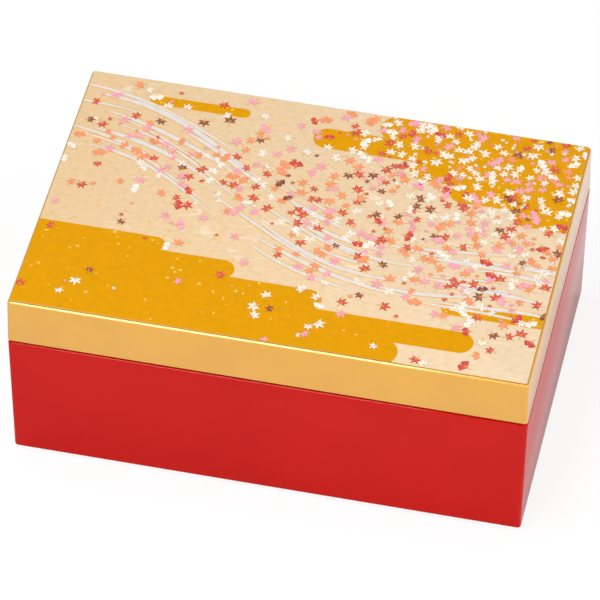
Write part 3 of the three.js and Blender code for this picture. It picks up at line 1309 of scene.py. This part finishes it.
    def _leaves(self) -> None:
        """Models the leaves once and scatters them, thick on the upper right and drifting downstream."""
        models = {kind: (self._leaf(kind.value), self._line_work(kind.value)) for kind in LeafKind}
        half = (self.high - self.low) / 2
        names = list(self.colours)
        on_haze = [colour.on_haze for colour in self.colours.values()]
        on_ground = [colour.on_ground for colour in self.colours.values()]
        scattered: dict[str, list[Piece]] = {name: [] for name in names}
        lines: list[Piece] = []
        placed: list[tuple[Vector, float]] = []
        tries = 0
        while len(placed) < self.leaf_count and tries < self.most_tries:
            tries += 1
            x, y = self.random.uniform(-1, 1), self.random.uniform(-1, 1)
            small = self.random.random() < self.small_share
            size = self.random.uniform(*(self.small_leaf if small else self.large_leaf))
            keep = self.random.random() < self._density(x, y)
            spot = Vector((x * half.x, y * half.y, 0.0))
            spacing = self.leaf_spacing
            near = any((spot - other).length < spacing * (size + reach) for other, reach in placed)
            if not keep or near:
                continue
            lift = self.leaf_lift + self.leaf_rise * len(placed) / self.leaf_count
            placed.append((spot, size))
            kind = LeafKind.FAN if self.random.random() < self.fan_share else LeafKind.MAPLE
            turn = Matrix.Rotation(self.random.uniform(0, math.tau), 4, "Z")
            spread = Matrix.Diagonal((size, size, self.paint + lift, 1.0))
            placing = Matrix.Translation((spot.x, spot.y, self.top + lift)) @ turn @ spread
            hazy = any(band.holds(spot) for band in self.bands)
            name = self.random.choices(names, on_haze if hazy else on_ground)[0]
            leaf, line_work = models[kind]
            scattered[name].append(Bench.copy(leaf, placing))
            lines.append(Bench.copy(line_work, placing))
        for pair in models.values():
            for model in pair:
                bpy.data.objects.remove(model)
        for name, colour in self.colours.items():
            self._finish(Bench.join(f"{name}_leaves", scattered[name]), colour.paint)
        self._finish(Bench.join("leaf_lines", lines), self.gold_line)
        LOG.info("%d leaves after %d tries", len(placed), tries)


class SoftSide(Enum):
    """The way that a pad's soft side looks."""

    UP = Vector((0.0, 0.0, 1.0))
    DOWN = Vector((0.0, 0.0, -1.0))
    LEFT = Vector((-1.0, 0.0, 0.0))
    RIGHT = Vector((1.0, 0.0, 0.0))
    FRONT = Vector((0.0, -1.0, 0.0))
    BACK = Vector((0.0, 1.0, 0.0))


@dataclass
class VelvetPad:
    """A thin velvet pad on card or foam, flat on its glued side and swollen on its soft side."""

    node: str
    body: str
    soft: SoftSide
    fill: float
    slack: float
    press: float = 0.0
    cell: float = 2.6 * MM
    border: float = 0.5 * MM
    magnify: float = 12.0
    least_cells: int = 4
    smooth_angle: float = 60.0
    piece: Piece | None = None
    placing: Matrix = field(init=False)
    rest: list[Vector] = field(init=False)

    @property
    def thickness(self) -> float:
        """The pad's full thickness."""
        low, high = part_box(self.node)
        return abs((high - low).dot(self.soft.value))

    def build(self) -> None:
        """Models the pad as a flat slab, thinner than it will be, at the size that it is swollen at."""
        low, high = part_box(self.node)
        axis = self.soft.value
        size = high - low
        turn = axis.to_track_quat("Z", "Y" if abs(axis.z) < 0.5 else "X").to_matrix()
        across = [abs(turn.col[i].dot(size)) + 2 * self.press for i in range(2)]
        cells = [max(self.least_cells, round(length / self.cell)) for length in across]
        bpy.ops.mesh.primitive_grid_add(x_subdivisions=cells[0], y_subdivisions=cells[1], size=1.0)
        slab = bpy.context.active_object
        slab.name = self.node.replace("_lining", "_velvet").replace("_pad", "_velvet_pad")
        with Bench.editing(slab):
            bpy.ops.mesh.select_all(action="SELECT")
            bpy.ops.mesh.extrude_region_move(TRANSFORM_OT_translate={"value": (0.0, 0.0, 1.0)})
            bpy.ops.mesh.select_all(action="SELECT")
            bpy.ops.mesh.normals_make_consistent(inside=False)
        deep = self.thickness
        slab.data.transform(Matrix.Diagonal((across[0], across[1], deep * self.slack, 1.0)))
        for point in slab.data.vertices:
            point.co.x = self._gather(point.co.x, across[0], cells[0])
            point.co.y = self._gather(point.co.y, across[1], cells[1])
        base = (low + high) / 2 - axis * deep / 2
        self.placing = Matrix.Translation(base) @ turn.to_4x4()
        pinned = slab.vertex_groups.new(name="glued")
        pinned.add([v.index for v in slab.data.vertices if v.co.z < NEAR], 1.0, "REPLACE")
        slab.data.transform(Matrix.Scale(self.magnify, 4))
        self.piece = slab
        self.rest = [v.co.copy() for v in slab.data.vertices]
        self._add_cloth()

    def _gather(self, place: float, length: float, cells: int) -> float:
        """Moves the row of points next to an edge close to it, which keeps the edge tight."""
        rows_in = round((length / 2 - abs(place)) * cells / length)
        return math.copysign(length / 2 - self.border, place) if rows_in == 1 else place

    def _add_cloth(self) -> None:
        """Adds the cloth that swells the slab."""
        cloth = self.piece.modifiers.new("swell", "CLOTH")
        settings = cloth.settings
        settings.quality = 4
        settings.mass = 0.3
        settings.tension_stiffness = 12.0
        settings.compression_stiffness = 12.0
        settings.bending_stiffness = 1.5
        settings.use_pressure = True
        settings.uniform_pressure_force = 4.0
        settings.vertex_group_mass = "glued"
        settings.effector_weights.gravity = 0.0

    def _crease(self) -> None:
        """Keeps the outline of the glued side sharp, so that no gap opens round the pad."""
        glued = {index for index, point in enumerate(self.rest) if point.z < self.magnify * NEAR}
        creases = self.piece.data.attributes.new("crease_edge", "FLOAT", "EDGE")
        bordering: dict[tuple[int, int], int] = {}
        for face in self.piece.data.polygons:
            if glued.issuperset(face.vertices):
                for key in face.edge_keys:
                    bordering[key] = bordering.get(key, 0) + 1
        for edge in self.piece.data.edges:
            if bordering.get(edge.key) == 1:
                creases.data[edge.index].value = 1.0

    def finish(self) -> None:
        """Keeps the swollen shape within the pad's place, brings it to size and dresses it."""
        pad = self.piece
        Bench.apply(pad)
        most = self.thickness * (1 - self.slack) * self.magnify
        for point, rest in zip(pad.data.vertices, self.rest):
            moved = point.co - rest
            point.co = rest + Vector((0.0, 0.0, max(0.0, min(most, moved.z))))
        pad.data.transform(self.placing @ Matrix.Scale(1 / self.magnify, 4))
        pad.vertex_groups.clear()
        self._crease()
        Bench.modify(pad, "SUBSURF", levels=1, render_levels=1)
        Bench.smooth(pad, self.smooth_angle)
        Bench.dress(pad, VELVET.material(), self.body, "velvet")
        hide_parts(self.node)


@dataclass
class VelvetRoom:
    """All the pads and wall linings of the base and the lid."""

    frames: int = 14
    pad_fill: float = 0.6
    pad_slack: float = 0.7
    pad_press: float = 0.2 * MM
    lining_fill: float = 0.8
    lining_slack: float = 0.92
    pads: list[VelvetPad] = field(default_factory=list)

    def build(self) -> None:
        """Models the pads, swells them together and finishes each."""
        inward = {
            "front": SoftSide.BACK,
            "back": SoftSide.FRONT,
            "left": SoftSide.RIGHT,
            "right": SoftSide.LEFT,
        }
        soft = (self.pad_fill, self.pad_slack, self.pad_press)
        self.pads.append(VelvetPad("base_floor_pad", "base", SoftSide.UP, *soft))
        self.pads.append(VelvetPad("lid_ceiling_pad", "lid", SoftSide.DOWN, *soft))
        card = (self.lining_fill, self.lining_slack)
        for body in ("base", "lid"):
            for side, way in inward.items():
                self.pads.append(VelvetPad(f"{body}_{side}_lining", body, way, *card))
        for pad in self.pads:
            pad.build()
        scene = bpy.context.scene
        for number in range(1, self.frames + 1):
            scene.frame_set(number)
        for pad in self.pads:
            pad.finish()


@dataclass
class FeltSheet:
    """The felt that the box stands on."""

    node: str = "base_felt_sheet"
    corner_radius: float = 3 * MM
    corner_steps: int = 8
    edge_radius: float = 0.25 * MM
    edge_steps: int = 3

    def build(self) -> None:
        """Models the sheet and dresses it."""
        low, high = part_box(self.node)
        sheet = Bench.block("felt_sheet", low, high)
        with Bench.editing(sheet):
            Bench.round_upright(sheet, self.corner_radius, self.corner_steps)
            Bench.round_level(sheet, low.z, self.edge_radius, self.edge_steps)
        Bench.smooth(sheet)
        Bench.dress(sheet, FELT.material(), "base", "felt")
        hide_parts(self.node)


@dataclass
class Fittings:
    """The hinges, screws, bumpers and hidden boards, whose shapes the frame already has."""

    edge: float = 0.1 * MM
    edge_angle: float = 40.0
    weld: float = 0.001 * MM

    def dress(self) -> None:
        """Gives each fitting its finish and takes the hardness off its edges."""
        finishes = (BRASS, SOFT_RUBBER, BARE_BOARD)
        brass, rubber, board = (finish.material() for finish in finishes)
        for name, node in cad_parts.items():
            if "hinge" in name:
                self._finish(node, brass)
            elif "bumper" in name:
                self._finish(node, rubber)
            elif name in ("base_bottom_board", "lid_top_board"):
                self._finish(node, board)

    def _finish(self, node: Piece, material: Material) -> None:
        """Dresses one node.

        Args:
            node: the node.
            material: its material.
        """
        node.data.materials.clear()
        node.data.materials.append(material)
        node.data.polygons.foreach_set("use_smooth", [True] * len(node.data.polygons))
        weld = node.modifiers.new("weld", "WELD")
        weld.merge_threshold = self.weld
        soften = node.modifiers.new("soften", "BEVEL")
        soften.width = self.edge
        soften.segments = 2
        soften.limit_method = "ANGLE"
        soften.angle_limit = math.radians(self.edge_angle)
        soften.use_clamp_overlap = True
        node.modifiers.new("even", "WEIGHTED_NORMAL").keep_sharp = True
        LOG.info("%s keeps its shape and gets %s", node.name, material.name)


@dataclass(frozen=True)
class SoftLamp:
    """A soft lamp: its place in degrees and metres from the box, its size and its brightness."""

    name: str
    turn: float
    rise: float
    distance: float
    size: tuple[float, float]
    light: float


@dataclass
class Studio:
    """The pale floor, the soft light and the camera."""

    image: float = 600.0
    focal: float = 5088.9
    sensor: float = 36.0
    yaw: float = 12.033
    elevation: float = 44.892
    roll: float = 0.558
    aim: Triple = (-1.13 * MM, 0.0, 34.15 * MM)
    distance: float = 1773.0 * MM
    clip: Pair = (0.05, 30.0)
    floor_size: float = 8.0
    floor_drop: float = 0.05 * MM
    floor_colour: float = 0.95
    floor_seen: float = 0.86
    floor_mirrored: float = 0.5
    mirrored_light: float = 0.7
    shaded_light: float = 0.1
    shade_start: float = -60 * MM
    shade_end: float = -110 * MM
    shade_side: Pair = (86 * MM, 92 * MM)
    ambient: float = 0.38
    lamps: tuple[SoftLamp, ...] = (
        SoftLamp("front_strip", -27.5, 66.0, 1.25, (0.38, 1.9), 6.6),
        SoftLamp("side_fill", 80.0, 28.0, 1.4, (0.35, 0.6), 10.0),
    )
    card_colour: Colour = (0.05, 0.035, 0.02)
    card_turn: float = 138.5
    card_rise: float = 20.0
    card_distance: float = 1.6
    card_size: Pair = (0.5, 0.7)

    def build(self) -> None:
        """Sets up the camera, the floor, the light and the surroundings."""
        self._camera()
        self._floor()
        for lamp in self.lamps:
            self._lamp(lamp)
        for side in (-1.0, 1.0):
            self._dark_card(side * self.card_turn)
        self._surroundings()
        bpy.context.scene.view_settings.view_transform = "Standard"

    @staticmethod
    def _direction(turn: float, rise: float) -> Vector:
        """Gives a direction from the box.

        Args:
            turn: degrees to the right of the front.
            rise: degrees above the floor.

        Returns:
            The direction, of length 1.
        """
        across, up = math.radians(turn), math.radians(rise)
        return Vector(
            (math.sin(across) * math.cos(up), -math.cos(across) * math.cos(up), math.sin(up))
        )

    def _camera(self) -> None:
        """Makes the camera at the photograph's angle, with no shift."""
        yaw, roll = math.radians(self.yaw), math.radians(self.roll)
        back = self._direction(self.yaw, self.elevation)
        level = Vector((math.cos(yaw), math.sin(yaw), 0.0))
        upright = back.cross(level)
        right = level * math.cos(roll) + upright * math.sin(roll)
        up = upright * math.cos(roll) - level * math.sin(roll)
        data = bpy.data.cameras.new("camera")
        data.sensor_width = self.sensor
        data.lens = self.focal / self.image * self.sensor
        data.clip_start, data.clip_end = self.clip
        camera = bpy.data.objects.new("camera", data)
        bpy.context.scene.collection.objects.link(camera)
        turn = Matrix((right, up, back)).transposed().to_4x4()
        camera.matrix_world = Matrix.Translation(Vector(self.aim) + back * self.distance) @ turn
        bpy.context.scene.camera = camera

    def _floor(self) -> None:
        """Makes the floor: white to the camera and in reflections, and still holding the shadow."""
        bpy.ops.mesh.primitive_plane_add(size=self.floor_size, location=(0.0, 0.0, -self.floor_drop))
        floor = bpy.context.active_object
        floor.name = "floor"
        Bench.settle(floor)
        shader, material = Shader.of_material("pale_floor")
        looked_at = shader.add("ShaderNodeLightPath", output="Is Camera Ray")
        mirrored = self._mirrored(shader)
        share = looked_at * self.floor_seen + mirrored * self.floor_mirrored
        paper = shader.add("ShaderNodeBsdfDiffuse", {"Color": (self.floor_colour,) * 3})
        level = looked_at + mirrored * self._floor_light(shader)
        white = shader.add("ShaderNodeEmission", {"Color": level, "Strength": 1.0})
        mixed = shader.add("ShaderNodeMixShader", {0: share, 1: paper, 2: white})
        shader.add("ShaderNodeOutputMaterial", {"Surface": mixed})
        floor.data.materials.append(material)

    def _floor_light(self, shader: Shader) -> Value:
        """Gives the floor's brightness in reflections, low where the box shades it in front.

        Args:
            shader: the floor's shader.

        Returns:
            The brightness.
        """
        ahead = shader.fade(shader.along("Y"), self.shade_start, self.shade_end)
        beside = shader.fade(shader.along("X"), *self.shade_side)
        return ahead.largest(beside).between(self.shaded_light, self.mirrored_light)

    @staticmethod
    def _mirrored(shader: Shader) -> Value:
        """Tells what a gloss or a glass shows from everything else.

        Args:
            shader: the shader that asks.

        Returns:
            1 for what is mirrored or seen through glass, and 0 otherwise.
        """
        gloss, glass = (
            shader.add("ShaderNodeLightPath", output=name)
            for name in ("Is Glossy Ray", "Is Transmission Ray")
        )
        return gloss.largest(glass)

    def _lamp(self, lamp: SoftLamp) -> None:
        """Makes one soft lamp that looks at the box.

        Args:
            lamp: its place, size and brightness.
        """
        data = bpy.data.lights.new(lamp.name, "AREA")
        data.shape = "RECTANGLE"
        data.size, data.size_y = lamp.size
        data.energy = lamp.light * math.pi * lamp.size[0] * lamp.size[1]
        light = bpy.data.objects.new(lamp.name, data)
        bpy.context.scene.collection.objects.link(light)
        away = self._direction(lamp.turn, lamp.rise)
        along = away.cross(Vector((1.0, 0.0, 0.0))).normalized()
        turn = Matrix((along.cross(away), along, away)).transposed().to_4x4()
        light.matrix_world = Matrix.Translation(away * lamp.distance) @ turn
        light.visible_camera = False

    def _dark_card(self, turn: float) -> None:
        """Makes a dark card behind the box, which only draws a line in glossy rounded edges.

        Args:
            turn: its place, in degrees to the right of the front.
        """
        away = self._direction(turn, self.card_rise)
        bpy.ops.mesh.primitive_plane_add(size=1.0, location=away * self.card_distance)
        card = bpy.context.active_object
        card.name = "dark_card"
        card.scale = (*self.card_size, 1.0)
        card.rotation_mode = "QUATERNION"
        card.rotation_quaternion = away.to_track_quat("Z", "Y")
        shader, material = Shader.of_material("dark_card")
        shader.surface({"Base Color": self.card_colour, "Roughness": 1.0})
        card.data.materials.append(material)
        card.visible_camera = False
        card.visible_diffuse = False
        card.visible_transmission = False
        card.visible_shadow = False

    def _surroundings(self) -> None:
        """Makes the plain surroundings: dim as light, white where they are seen or mirrored."""
        world = bpy.data.worlds.new("surroundings")
        world.use_nodes = True
        bpy.context.scene.world = world
        shader = Shader(world.node_tree)
        looked_at = shader.add("ShaderNodeLightPath", output="Is Camera Ray")
        strength = looked_at.largest(self._mirrored(shader)).between(self.ambient, 1.0)
        sky = shader.add(
            "ShaderNodeBackground", {"Color": (1.0, 1.0, 1.0), "Strength": strength}
        )
        shader.add("ShaderNodeOutputWorld", {"Surface": sky})


def main() -> None:
    """Builds the studio and the box, piece by piece."""
    logging.basicConfig(level=logging.INFO, format="%(name)s: %(message)s")
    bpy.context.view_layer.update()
    Studio().build()
    LacquerShell(
        body="base",
        slot="red_lacquer",
        rim=Rim.UP,
        let_in="base_bottom_board",
        taper=0.6 * MM,
        corner_radius=1.2 * MM,
        rim_radius=0.65 * MM,
        finish=RED_LACQUER,
    ).build()
    LacquerShell(
        body="lid",
        slot="gold_lacquer",
        rim=Rim.DOWN,
        let_in="lid_top_board",
        taper=0.3 * MM,
        corner_radius=1.1 * MM,
        edge_radius=0.95 * MM,
        rim_radius=0.95 * MM,
        finish=GoldLacquer(top=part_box("lid_front_board")[1].z),
    ).build()
    PicturePanel().build()
    RiverPicture().build()
    VelvetRoom().build()
    FeltSheet().build()
    Fittings().dress()


if __name__ == "__main__":
    main()
